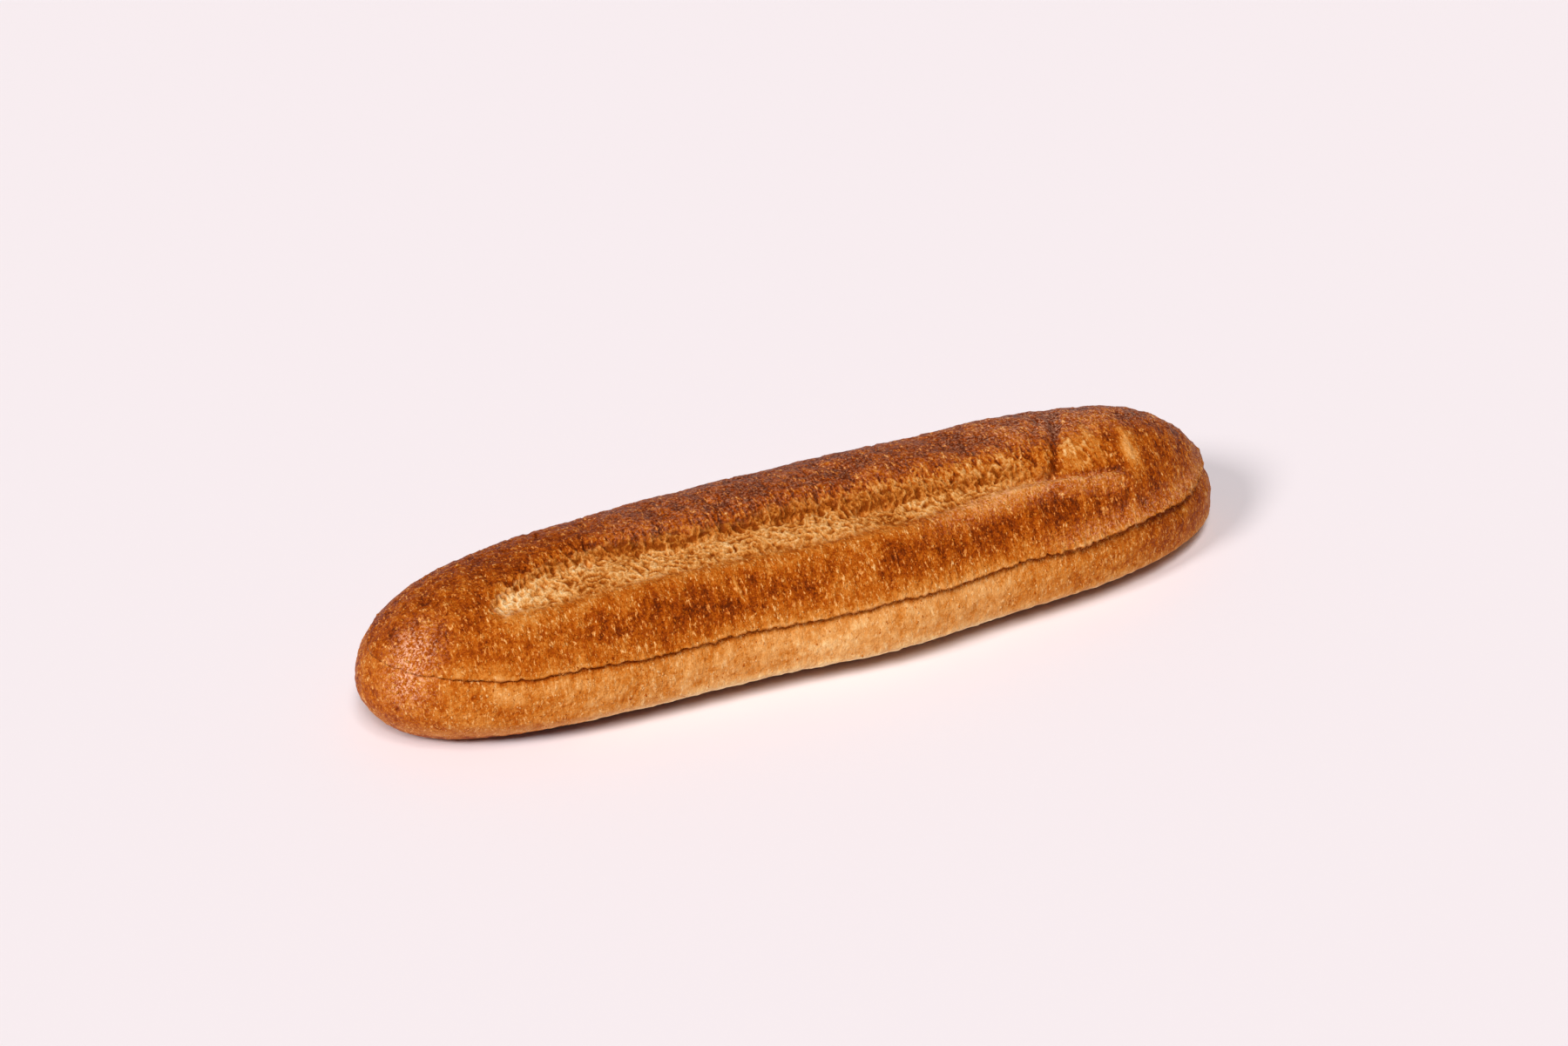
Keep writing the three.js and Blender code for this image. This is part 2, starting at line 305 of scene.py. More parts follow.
def tuck_in(x, side, above):
    """How far the crust goes in at a height above the cut: less than nothing where the lip leans out."""
    lip = along(x, OVERHANG) * (1 + 0.6 * line_noise(x, 1.6, 6))
    over = lip * (1 - smooth(above, 0, OVERHANG_FADES))
    under = along(x, CUT_SETBACK) * (1 - smooth(-above, 0, SETBACK_FADES))
    return cut_share(x, side) * np.where(above < 0, under, -over)


def cut_depth(x, side):
    """How deep the closed slit goes: only a crease at the left tip."""
    full = mix(CREASE_DEPTH, CUT_DEPTH, smooth(x, -134, -122))
    return full * cut_share(x, side)


middle_cut = cut_height(np.array([0.0]))
print("the cut is", float(middle_cut[0].round(1)), "mm above the board in the middle")

# %% [markdown]
# ## The flat of the sole
#
# A loaf that cooled on a tray is flat underneath, but not to its very edge. It stands on a patch in
# the middle of its sole, and clears the board by less than half a millimetre round it.

# %% The patch it stands on
STANDS_FROM, STANDS_MIDDLE, STANDS_TO = -86, -8.4, 59
STANDS_END_WIDTH, STANDS_MIDDLE_WIDTH, CLEARANCE = 20, 23, 0.4


def rest_half_width(x):
    span = np.where(x < STANDS_MIDDLE, STANDS_MIDDLE - STANDS_FROM, STANDS_TO - STANDS_MIDDLE)
    share = np.clip(1 - np.abs(x - STANDS_MIDDLE) / span, 0, 1)
    return mix(STANDS_END_WIDTH, STANDS_MIDDLE_WIDTH, share**1.5)


print("it stands on a patch", STANDS_TO - STANDS_FROM, "by", 2 * STANDS_MIDDLE_WIDTH, "mm")

# %% [markdown]
# ## Ribs and rings
#
# Now the rings. They lie closest where the form turns fastest: a third of a millimetre apart at the
# mouth of the cut, about two thirds in the torn trough, and wide apart on the hidden sole.

# %% How many spokes and rings
END_SPOKES, BODY_SPOKES = 60, 312
SOLE_RINGS, CORNER_RINGS, BELLY_RINGS = 4, 9, 15
SHOULDER_RINGS, RIM_RINGS, FLOOR_RINGS, WALL_RINGS = 20, 8, 17, 24
BELOW_MOUTH, ABOVE_MOUTH = [-2.4, -1.5, -0.9], [0.75, 1.2, 1.8, 2.6, 3.8]  # heights of rings at the cut
MOUTH_RINGS = len(BELOW_MOUTH) + 3 + len(ABOVE_MOUTH)
BELLY_STOPS, DOME_STARTS = 3.4, 5  # below and above the cut


def spoke_stations():
    turn = 1 - np.cos(np.pi / 2 * np.arange(END_SPOKES) / END_SPOKES)
    left = -HALF + (FOCI[0] + HALF) * turn
    body = np.linspace(*FOCI, BODY_SPOKES, endpoint=False)
    right = HALF - (HALF - FOCI[1]) * np.append(turn, 1)[::-1]
    return np.concatenate([left, body, right])


stations = spoke_stations()
last = len(stations) - 1
apart = (FOCI[1] - FOCI[0]) / BODY_SPOKES
print(len(stations), "stations, one every", round(apart, 2), "mm along the body")

# %% [markdown]
# On the near side the rings follow the slash, so the rim and the wall's foot come out crisp. Both
# sides take on the same spacing towards the tips, where they meet, so the skin is closed without any
# stitching afterwards.

# %% Rings of one side
def steps(start, stop, count):
    """Rows of `count` even steps from start towards stop, without stop."""
    return mix(start[:, None], stop[:, None], np.arange(count) / count)


def upper_rings(side, first, centre):
    """Shares of the way out for the rings above the cut, from the outside in."""
    reach = half_width(centre, -1)
    rim, foot = [np.clip(along(centre, line) / reach, 0.03, 0.8) for line in (RIM_LINE, FOOT_LINE)]
    rim_end = mix(rim, foot, 0.4)
    legs = [(first, rim, SHOULDER_RINGS), (rim, rim_end, RIM_RINGS)]
    legs += [(rim_end, foot, FLOOR_RINGS), (foot, 0 * foot, WALL_RINGS + 1)]
    near = np.concatenate([steps(*leg) for leg in legs], 1)
    near[:, -1] = 0
    even = mix(first[:, None], 0, np.linspace(0, 1, near.shape[1]))
    turn = smooth(np.abs(stations - centre) / (HALF - np.abs(centre)), 0, 1)
    blend = turn / 2 if side < 0 else 1 - turn / 2
    return mix(near, even, blend[:, None])


def sole_and_corner(x, reach, belly):
    """Shares and heights of the rings from the middle of the sole up to the belly."""
    stands = (x >= STANDS_FROM) & (x <= STANDS_TO)
    edge = np.where(stands, rest_half_width(x) / reach, sole_share(x) * (1 - 1 / SOLE_RINGS))
    sole = edge[:, None] * np.arange(SOLE_RINGS) / (SOLE_RINGS - 1)
    sole_z = np.where(stands, 0, CLEARANCE)[:, None] + 0 * sole
    turn = np.pi / 2 * (1 - np.arange(CORNER_RINGS) / CORNER_RINGS)
    corner = mix(sole_share(x)[:, None], 1, np.cos(turn) ** (2 / LOWER_ROUNDNESS))
    corner_z = mix(CLEARANCE, belly[:, None], 1 - np.sin(turn) ** (2 / LOWER_ROUNDNESS))
    return np.concatenate([sole, corner], 1), np.concatenate([sole_z, corner_z], 1)


def wall_heights(x, belly, cut):
    """Heights of the rings from the belly up past the mouth of the cut."""
    mouth = cut_mouth(x)[:, None]
    lips = [mouth * 0 + BELOW_MOUTH, mouth * [-1, 0, 1], mouth * 0 + ABOVE_MOUTH]
    belly_z = steps(belly, cut - BELLY_STOPS, BELLY_RINGS)
    return np.concatenate([belly_z, cut[:, None] + np.concatenate(lips, 1)], 1)


# %% [markdown]
# Each rib is now three runs of rings, one above the other: sole and corner, wall, dome. The lips of
# the cut lean out or in, and one ring between them goes deep to make the slit. Then every share of
# the way out becomes a place, between the line of centres and the outline.

# %% One side's ribs
def ribs(side):
    """Every ring of every spoke on one side: its place, share of the way out, slit and cut level."""
    x = stations
    centre = np.clip(x, *FOCI)
    belly, crown, cut = belly_height(x), crown_height(centre), cut_height(x)
    reach = np.maximum(half_width(x, side), np.abs(x - centre))
    rise = (crown - belly)[:, None]

    def reach_at(z):
        up = np.clip((z - belly[:, None]) / rise, 0, 1)
        return (1 - up**UPPER_ROUNDNESS) ** (1 / UPPER_ROUNDNESS)

    low, low_z = sole_and_corner(x, reach, belly)
    wall_z = wall_heights(x, belly, cut)
    dome = upper_rings(side, reach_at(cut[:, None] + DOME_STARTS)[:, 0], centre)
    dome_up = np.maximum(1 - dome**UPPER_ROUNDNESS, 0) ** (1 / UPPER_ROUNDNESS)
    share = np.concatenate([low, reach_at(wall_z), dome], 1)
    z = np.concatenate([low_z, wall_z, belly[:, None] + rise * dome_up], 1)

    start = low.shape[1]
    slit = start + BELLY_RINGS + len(BELOW_MOUTH) + 1
    inward, slit_ring = np.zeros_like(z), np.zeros_like(z)
    leaning = tuck_in(x[:, None] + 0 * wall_z, side, wall_z - cut[:, None])
    inward[:, start : start + leaning.shape[1]] = leaning
    inward[:, slit] = cut_depth(x, side)
    slit_ring[:, slit] = 1

    out = share - inward / reach[:, None]
    outline = spine_at(x) + side * half_width(x, side)
    px = mix(centre[:, None], x[:, None], out)
    py = mix(spine_at(centre)[:, None], outline[:, None], out)
    place = np.stack([px, py, z], -1)
    return {"place": place, "share": share, "slit": slit_ring, "cut": 0 * z + cut[:, None]}


sides = [ribs(-1), ribs(1)]
rings = sides[0]["share"].shape[1]
print(rings, "rings on each side")

# %% [markdown]
# ## One closed skin
#
# The two grids become one mesh. The tips, the crown line and the middle of the sole belong to both
# sides, so those rings point at the same vertices, and the ends' fans close on a single vertex.
# Every quad then has a neighbour on each edge, as a real skin does.

# %% Join the sides
index = np.arange(2 * (last + 1) * rings).reshape(2, last + 1, rings)
index[1, [0, last]] = index[0, [0, last]]
index[1, :, [0, rings - 1]] = index[0, :, [0, rings - 1]]
for ring in (0, rings - 1):
    index[:, :END_SPOKES, ring] = index[0, END_SPOKES, ring]
    index[:, last - END_SPOKES :, ring] = index[0, last - END_SPOKES, ring]


def grid_quads(grid):
    """The quads between neighbours in a grid of vertices."""
    corners = [grid[:-1, :-1], grid[1:, :-1], grid[1:, 1:], grid[:-1, 1:]]
    return np.stack(corners, -1).reshape(-1, 4)


near_quads, far_quads = [grid_quads(grid) for grid in index]
skin_faces = np.concatenate([near_quads, far_quads[:, [0, 3, 2, 1]]])
used, renumbered = np.unique(skin_faces, return_inverse=True)
quads = renumbered.reshape(-1, 4)


def both(name):
    """One value per vertex of the joined skin, from the two sides' grids."""
    stacked = np.stack([s[name] for s in sides])
    return stacked.reshape((-1,) + stacked.shape[3:])[used]


skin = both("place")
share, slit, cut_level = both("share"), both("slit"), both("cut")
side_of = np.repeat([-1.0, 1.0], (last + 1) * rings)[used]
print(len(skin), "vertices and", len(quads), "quads")

# %% [markdown]
# ## Large relief: the trough, the creases, the swellings
#
# The oven's larger marks move the skin straight down or in and out: the slash's trough, the leaning
# creases across the ridge where the crust buckled, and slow swellings that keep the whole from
# looking turned on a lathe.

# %% Shape the skin
RIDGE_CREASES = [  # place along, lean, depth and half width
    (-43, 0.3, 0.8, 3.5),
    (-25, 0.2, 1.1, 3.2),
    (18, 0.3, 0.8, 4),
    (54, 0.3, 0.8, 4),
    (87, -0.4, 1.4, 4.2),
    (100, -0.2, 0.9, 4),
]
x0, z0 = skin[:, 0].copy(), skin[:, 2].copy()
across = spine_at(x0) - skin[:, 1]
belly = belly_height(x0)
upper = smooth(z0, CUT_HEIGHT + 4, CUT_HEIGHT + 10)  # 1 on the upper half, clear of the cut
skin[:, 2] += (1 - smooth(z0, 0, belly)) * lift_at(x0) - upper * slash_drop(x0, across)
creased = upper * bell((across + 6) / 14)
for place, lean, depth, spread in RIDGE_CREASES:
    skin[:, 2] -= creased * depth * bell((x0 - place - lean * across) / spread)
swell = 0.5 * hills(skin, 26, 1)
free = share * smooth(z0, 1, belly)
skin[:, 1] += side_of * swell * free
skin[:, 2] += swell * upper
print("crown now at", skin[:, 2].max().round(1), "mm")

# %% [markdown]
# ## A finer skin for the torn crumb
#
# Torn crumb is made of membranes and holes well under a millimetre across, finer than the ribs can
# show. So the strip from the rim to the top of the wall gets a second skin, about four times as dense,
# laid in the same place. The whole loaf could be made as fine, but then it would be too heavy to
# pass on. Both skins are roughened and browned by the very same steps from here on, so they agree;
# where the crumb is torn the fine one will stand a little proud of the coarse one, and elsewhere it
# will dive under it, so the edge between them comes out ragged.

# %% Rows of the fine strip
STRIP_REACH, STRIP_BEFORE_RIM, STRIP_FAR_RINGS = 136, 4, 12
STRIP_POINTS, STRIP_FINER = 112, 2
strip_stations = np.flatnonzero(np.abs(stations) < STRIP_REACH)
rim_ring = SOLE_RINGS + CORNER_RINGS + BELLY_RINGS + MOUTH_RINGS + SHOULDER_RINGS
strip_ring = rim_ring - STRIP_BEFORE_RIM
vertex_of = np.zeros(index.max() + 1, int)
vertex_of[skin_faces] = quads
near_rows = vertex_of[index[0][strip_stations][:, strip_ring:]]
far_rows = vertex_of[index[1][strip_stations][:, rings - 1 - STRIP_FAR_RINGS : rings - 1]][:, ::-1]
rows = np.concatenate([near_rows, far_rows], 1)


def finer(grid, times):
    """A grid with `times` as many rows, on smooth curves through its rows."""
    before, after = np.concatenate([grid[:1], grid[:-2]]), np.concatenate([grid[2:], grid[-1:]])
    start, stop = grid[:-1], grid[1:]
    parts = []
    for t in np.arange(times) / times:
        bow = t * (1 - t) * ((1 - t) * (stop - before) - t * (after - start)) / 2
        parts.append(mix(start, stop, t * t * (3 - 2 * t)) + bow)
    return np.concatenate([np.stack(parts, 1).reshape((-1,) + grid.shape[1:]), grid[-1:]])


known = np.stack([x0, z0, across, belly, upper, share, side_of], -1)
strip = np.concatenate([skin[rows], known[rows]], -1)
strip = finer(strip, STRIP_FINER)
strip = finer(strip.swapaxes(0, 1), STRIP_FINER).swapaxes(0, 1)
walked = np.cumsum(np.linalg.norm(np.diff(strip[..., :3], axis=1), axis=2), 1)
walked = np.concatenate([0 * walked[:, :1], walked], 1)
even = np.linspace(0, 1, STRIP_POINTS)


def respace(row, at):
    """A row's values again, at even distances along it."""
    return np.stack([np.interp(even * at[-1], at, value) for value in row.T], -1)


strip = np.stack([respace(row, at) for row, at in zip(strip, walked)])
strip_shape = strip.shape[:2]
spacing = walked[:, -1].mean() / STRIP_POINTS
print("fine strip:", strip_shape, "points,", round(float(spacing), 2), "mm apart")

# %% [markdown]
# The fine strip's points now join the coarse ones in the same lists, at their end.

# %% Join the lists
coarse = len(skin)
fresh = strip.reshape(-1, strip.shape[-1])
skin = np.concatenate([skin, fresh[:, :3]])
x0, z0, across, belly, upper, share, side_of = np.concatenate([known, fresh[:, 3:]]).T
slit = np.concatenate([slit, np.zeros(len(fresh))])
cut_level = np.concatenate([cut_level, cut_height(fresh[:, 3])])
fine = np.arange(len(skin)) >= coarse
grid = coarse + np.arange(len(fresh)).reshape(strip_shape)
all_quads = np.concatenate([quads, grid_quads(grid)])
print(len(fresh), "fine points join", coarse, "coarse ones")

# %% [markdown]
# ## Where the crumb is torn
#
# The torn crumb needs its own relief and its own colour, so its place is worked out once and kept
# with the vertices. It fills the floor of the trough, and runs up the wall in ragged strands: a noise
# that changes quickly along the loaf, and slowly up the wall, moves their upper edge up and down.
# Towards the right end the torn wall closes up. The rim keeps a smooth, stretched band.

# %% Masks for floor, wall and rim
depth, inside, _, wall = slash_place(x0, across)
opened = smooth(depth, 0.5, 1.6) * upper
closing = 1 - smooth(x0, 58, 88)

strand_space = skin * [1, 0.3, 0.3]
strand = rough(strand_space, 2.6, 3, 5)
climb = wall + 0.16 * strand + 0.12 * hills(skin, 14, 6)
past_foot = smooth(along(x0, FOOT_LINE) - across, -0.8, 1.2)
on_wall = past_foot * opened

band_edge = inside + 1.4 * hills(skin, 5, 7) + 0.7 * hills(skin, 2.2, 9)
on_floor = smooth(band_edge, 0.5, 9) * opened * (1 - past_foot)
torn_wall = on_wall * (1 - smooth(climb, 0.0, 0.6)) * closing
torn = np.clip(on_floor + torn_wall, 0, 1)
strands = on_wall * smooth(climb, 0.02, 0.3) * (1 - smooth(climb, 0.4, 1.15))
rim_band = opened * smooth(inside, -5, 2) * (1 - smooth(inside, 4, 8)) * (1 - past_foot)
print("torn share of the points:", round(float(torn.mean()), 3))


# %% [markdown]
# ## Fine relief
#
# The rest moves each vertex along its own normal, in or out. It could be left to bump, which only
# bends the light, but then the outline and the shadows would stay smooth.

# %% Normals of the skin
def facings(quads):
    """A vector straight out of each quad, as long as twice its area."""
    a, b, c, d = skin[quads].swapaxes(0, 1)
    return np.cross(c - a, d - b)


def skin_normals():
    out_of_quads = facings(all_quads)
    normals = np.zeros_like(skin)
    for corner in all_quads.T:
        np.add.at(normals, corner, out_of_quads)
    return unit(normals)


normals = skin_normals()
print(round(float((normals[:, 2] > 0).mean()), 2), "of the points face upwards")

# %% [markdown]
# Crust comes first. It gets shallow leathery hills, thin wrinkles down the shoulder, where the rising
# dough stretched the skin, and short furrows that run down from the cut near the left end.

# %% Relief of the crust
FURROWS_AT, FURROWS_REACH = -100, 17
below_cut = cut_level - z0
near_side, far_side = side_of < 0, side_of > 0
where_cut = np.maximum(cut_share(x0, 1), near_side)
crust = (1 - torn) * smooth(z0, 0.5, 4)
leather = 0.2 * rough(skin, 7, 2, 2) + 0.28 * rough(skin, 2.8, 3, 8)

stretched = smooth(-below_cut, 1, 8) * (1 - rim_band) * (1 - on_wall)
downhill = skin * [1, 0.2, 0.2] + 0.2 * across[:, None] * [1, 0, 0]
wrinkles = np.maximum(ridged(downhill, 7, 2, 1) - 0.8, 0)

furrowed = bell((x0 - FURROWS_AT) / FURROWS_REACH) * near_side
furrowed *= smooth(below_cut, 0.2, 1) * (1 - smooth(below_cut, 4, 11))
furrows = ridged(skin * [1, 0.12, 0.12], 3.6, 2, 0) - 0.6
relief = crust * (leather + 1.7 * stretched * wrinkles + 1.3 * furrowed * furrows)
print("crust relief from", relief.min().round(2), "to", relief.max().round(2), "mm")

# %% [markdown]
# Torn crumb gets tufts, from ridged noise, which has sharp crests like broken cell walls, and pits
# between them. The points that the noise reads are first pushed about by a slower one, so that the
# crests curl as membranes do. Up the wall the same tufts are drawn out into fibres.

# %% Relief of the torn crumb
warp = 1.1 * np.stack([hills(skin, 4.5, seed) for seed in (3, 4, 5)], -1)
tufts = ridged(skin + warp, 2.4, 4, 9)
tufts -= tufts[torn > 0.5].mean()
pits = smooth(hills(skin + warp, 1.9, 2), 0.32, 0.62)
lumps = hills(skin, 7.5, 4)
fibres = ridged(strand_space + warp * [0.6, 0, 0], 1.7, 3, 10)
fibres -= fibres[strands > 0.5].mean()
pulls = 0.6 * fibres + 0.5 * tufts
relief += on_floor * (1.9 * tufts + 0.6 * lumps - 0.4 * pits)
relief += torn_wall * (1.6 * pulls + 1.4 * tufts - 0.5 * pits) + 1.7 * strands * pulls
print("tufts from", tufts.min().round(2), "to", tufts.max().round(2))

# %% [markdown]
# Some marks have a place of their own. The ridge buckles more towards its right end. A pale crack
# marks the near shoulder, and a blister the right end. A late split crosses the ridge: the skin
# stands up on its left and drops on its right. On the right the slash is only a groove at the wall's
# foot, and a few deep holes lie along that foot, where gas bubbles were torn open. Last comes the
# crumbly edge of the cut's upper lip.

# %% Marks in their places
CRACK_AT, CRACK_LEAN, BLISTER_AT, SPLIT_LEAN = -39.2, 0.22, 107, 0.53
GROOVE_DEPTH, GROOVE_WIDTH = 1.1, 0.75
HOLES = [  # along, across, depth, half length, half width
    (-69, -1, 2.0, 2.2, 1.3),
    (-72, 5, 1.8, 1.5, 2.0),
    (-45, 9, 1.1, 3.2, 1.2),
    (-41, 12, 0.6, 2.0, 1.2),
    (-6, 7.5, 2.1, 4.2, 1.3),
    (3, 8.0, 1.5, 2.2, 1.3),
    (15, 12.5, 2.0, 2.4, 1.3),
    (23, 13, 1.3, 2.6, 1.1),
    (51, 13.5, 1.4, 2.4, 1.1),
    (-88, 9, 1.0, 2.0, 1.4),
    (82.5, 14.3, 1.2, 1.5, 1.5),
]
relief += 0.75 * upper * bell((across + 6) / 14) * smooth(x0, -40, 60) * hills(skin, 8, 3)

crack = bell((x0 - CRACK_AT - CRACK_LEAN * across) / 0.6)
crack *= smooth(across, 25, 27) * (1 - smooth(across, 31, 33))
blister = bell((x0 - BLISTER_AT) / 2.6) * bell((across - 15) / 5)
relief += crust * (0.45 * crack + 0.8 * blister)

split = x0 + SPLIT_LEAN * across
late = upper * smooth(across, -13, -4) * (1 - smooth(across, 15, 20))
relief += late * (0.9 * bell((split - 84.4) / 2.2) - 0.9 * bell((split - 88.8) / 1.5))

groove = bell((across - along(x0, FOOT_LINE)) / GROOVE_WIDTH)
relief -= GROOVE_DEPTH * groove * (1 - closing) * (1 - smooth(x0, 96, 106)) * upper
for place, off, deep, long, wide in HOLES:
    hole = bell((x0 - place) / long) * bell((across - off) / wide)
    relief -= deep * hole * upper

lip = bell((-below_cut - 0.8) / 0.9) * where_cut * (slit < 0.5)
relief += (0.4 + 0.3 * smooth(x0, 40, 90)) * lip * hills(skin, 1.5, 11)
print("all relief from", relief.min().round(2), "to", relief.max().round(2), "mm")

# %% [markdown]
# Now the skin moves. Where the crumb is torn, the fine strip stays and the coarse skin dives under
# it. Elsewhere the strip dives, and well away from the slash it goes down further still, so that its
# edge never shows.

# %% Move the skin
COARSE_DIVE, FINE_DIVE, EDGE_DIVE = 1.2, 0.6, 1.6
crumbly = np.clip(torn + strands, 0, 1)
coarse_dive = COARSE_DIVE * smooth(crumbly, 0.12, 0.5)
fine_dive = FINE_DIVE * (1 - smooth(crumbly, 0.0, 0.22))
height = relief.copy()
relief -= np.where(fine, fine_dive, coarse_dive)
skin += normals * (relief * smooth(z0, 0.45, 2.5))[:, None]
ends_off = np.maximum(1 - smooth(x0, -115, -108), smooth(x0, 104, 112))
beyond = np.maximum(ends_off, 1 - smooth(across, -14, -8))
skin[:, 2] -= EDGE_DIVE * beyond * fine
print("moved by", relief.min().round(2), "to", relief.max().round(2), "mm")

# %% [markdown]
# ## How brown each place is, and where light and shade are painted
#
# Heat browns what stands up to it. The ridge is mahogany, the near shoulder deep orange-brown, and the
# crust pales towards the cut. The lower half gets less heat, so it is straw-gold in the middle and tans
# towards the ends. Low down it is painted paler, as light bounced up from the board. The sole and its
# tucked corner are dark: partly browned on the hot tray, partly painted shade where the roll meets the
# board. A number from 0, pale, to 1, darkest, is kept with each vertex, and the finish turns it into
# colour. It could be painted by hand; worked out from the form it follows every bump exactly.

# %% Browning along the loaf
LOWER_TAN = [[-143, 0.56], [-118, 0.48], [-85, 0.40], [-35, 0.31], [25, 0.29], [60, 0.38]]
LOWER_TAN += [[95, 0.52], [115, 0.61], [140, 0.64]]
SHOULDER_TAN = [[-143, 0.62], [-105, 0.64], [-60, 0.75], [-40, 0.76], [30, 0.74], [85, 0.80]]
SHOULDER_TAN += [[110, 0.76], [143, 0.73]]
RIDGE_TAN = [[-143, 0.68], [-110, 0.76], [-50, 0.78], [0, 0.86], [60, 0.79], [86, 0.83]]
RIDGE_TAN += [[112, 0.84], [143, 0.80]]
FOOT_PAINTED_LIGHT = [[-135, 0.12], [-105, 0.22], [-75, 0.42], [-50, 0.5]]
SEAM_PALES = [[-143, 0.06], [-112, 0.14], [-70, 0.22], [-30, 0.33], [60, 0.34]]
SEAM_PALES += [[105, 0.28], [143, 0.12]]
SOLE_BROWN_AND_SHADE, SOLE_END_BROWN_AND_SHADE = 0.84, 0.6

over_crown = smooth(-across, -10, 4)
# Low on the lower half the tone is painted paler, as light bounced up from the board.
lower_tan_and_light = along(x0, LOWER_TAN) - along(x0, FOOT_PAINTED_LIGHT) * smooth(-z0, -13, -3)
shoulder_tan = along(x0, SHOULDER_TAN) - along(x0, SEAM_PALES) * (1 - smooth(-below_cut, 0, 9))
ridge_tan = along(x0, RIDGE_TAN) - 0.25 * smooth(-z0, -34, -12) * far_side
upper_tan = mix(shoulder_tan, ridge_tan, over_crown)
near_tan_and_light = mix(lower_tan_and_light, upper_tan, smooth(-below_cut, -0.6, 0.8))
far_tan_and_light = mix(lower_tan_and_light + 0.06, upper_tan, smooth(z0, 20, 28))
tan_and_painted_light = np.where(far_side, far_tan_and_light, near_tan_and_light)
# The sole and tucked corner: partly browned on the tray, partly painted shade where the roll meets the
# board.
sole_brown_and_shade = mix(SOLE_END_BROWN_AND_SHADE, SOLE_BROWN_AND_SHADE, smooth(x0, -125, -90))
tan_and_painted_light = mix(tan_and_painted_light, sole_brown_and_shade, 1 - smooth(z0 / belly, 0.3, 0.5))
print("plain browning from", tan_and_painted_light.min().round(2), "to", tan_and_painted_light.max().round(2))

# %% [markdown]
# The marks brown in their own way. The wall pales as it falls into the trough, and a golden patch shows
# where the ridge split late. The wall's fibres are painted pale on their crests and dark between them, as
# light and shade. A thin pale edge lies on the cut's lip, and a dark line is painted under it as the lip's
# shadow. Shade is painted into the hollows of the furrows, and every crest of the crust is painted paler
# than the hollows beside it. Last, broad bands run down the shoulder, and a slow drift goes over all of
# it.

# %% Browning of the marks
WALL_PALES = [[-110, 0.12], [-60, 0.04], [0, 0.10], [25, 0.24], [60, 0.28], [95, 0.16], [112, 0.08]]
over_cut = smooth(-below_cut, 1, 5) * (1 - over_crown)
tan_and_painted_light -= along(x0, WALL_PALES) * on_wall * (1 - smooth(climb, 0.25, 1.2))
# Painted light and shade on the wall's fibres: paler on their crests, darker between them.
tan_and_painted_light -= 1.3 * strands * mix(1, 0.5, smooth(x0, 75, 88)) * np.clip(pulls, -0.3, 0.3)
tan_and_painted_light -= 0.17 * late * smooth(split, 88.8, 90.2) * (1 - smooth(split, 103, 119))
tan_and_painted_light += 0.16 * late * bell((split - 86) / 3.2)
tan_and_painted_light -= 0.12 * bell((-below_cut - 0.7) / 0.6) * smooth(x0, -125, -105)
# Painted shadow: a dark line just under the cut's lip.
tan_and_painted_light += 0.2 * bell(below_cut - 0.8) * smooth(x0, -134, -112) * where_cut
tan_and_painted_light -= 0.2 * crack + 0.26 * bell((x0 - BLISTER_AT) / 2.4) * bell((across - 14) / 6) * upper
# Painted shade in the hollows of the furrows.
tan_and_painted_light += 0.5 * furrowed * np.clip(-furrows, 0, 0.4)
tan_and_painted_light -= (0.21 + 0.2 * smooth(x0, 30, 60)) * rim_band
# Painted light and shade: crests of the crust paler, hollows darker.
tan_and_painted_light -= 0.35 * np.clip(height, -0.5, 0.5) * crust
tan_and_painted_light += 0.1 * stretched * over_cut * hills(skin * [1, 0.2, 0.2], 11, 9)
tan_and_painted_light += 0.05 * rough(skin, 30, 2, 6) + 0.04
tan_and_painted_light = np.clip(tan_and_painted_light, 0, 1)
print("browning from", tan_and_painted_light.min().round(2), "to", tan_and_painted_light.max().round(2))

# %% [markdown]
# Three more numbers go with the browning. One says where shade is painted into the slit of the cut. One
# says how light the torn crumb is: lighter at the left tip of the slash and darker on the torn wall, with
# light painted on its tufts and shade in its pits. The third says where a pinkish, grainy sheen is painted
# on: along the ridge, above the cut, and on two spots at the left end.

# %% Slit shade, crumb and painted sheen
SHEEN_SPOTS, SHEEN_REACH = ([-129.4, 11.4, 32.5], [-134.1, 15.5, 24.2]), 6.5
# Painted shade in the slit of the cut: strongest where its mouth gapes, weaker at the left tip.
gaping = mix(0.55, 1, smooth(cut_mouth(x0), 0.12, 0.35)) * mix(0.35, 1, smooth(x0, -134, -118))
inner = np.clip(1.1 * bell(below_cut / 0.6) * gaping * where_cut, 0, 1)

# Lighter on the tufts and darker in the pits, as painted light and shade; lighter at the left tip of the
# slash, darker on the torn wall.
crumb_light_and_shade = 0.41 + 1.5 * tufts - 0.2 * pits + 0.2 * hills(skin, 12, 7)
crumb_light_and_shade += 0.34 * bell((x0 + 103) / 9) - 0.3 * torn_wall

# Painted sheen: a pinkish grainy highlight along the ridge, on the rim, above the cut near the right end
# and on two spots at the left end.
painted_sheen = over_crown * upper * (0.35 * smooth(x0, -75, -50) + 0.35 * smooth(x0, 55, 85))
painted_sheen += 0.7 * rim_band * smooth(x0, 20, 60)
painted_sheen += 0.45 * smooth(x0, 60, 90) * bell((-below_cut - 2.5) / 3) * near_side
for spot in SHEEN_SPOTS:
    away = np.linalg.norm(np.stack([x0, across, z0], -1) - spot, axis=1)
    painted_sheen += 1.3 * bell(away / SHEEN_REACH)
print("crumb light from", crumb_light_and_shade.min().round(2), "to", crumb_light_and_shade.max().round(2))

# %% [markdown]
# ## The roll as a Blender mesh
#
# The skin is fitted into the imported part's box, so that both are one size.

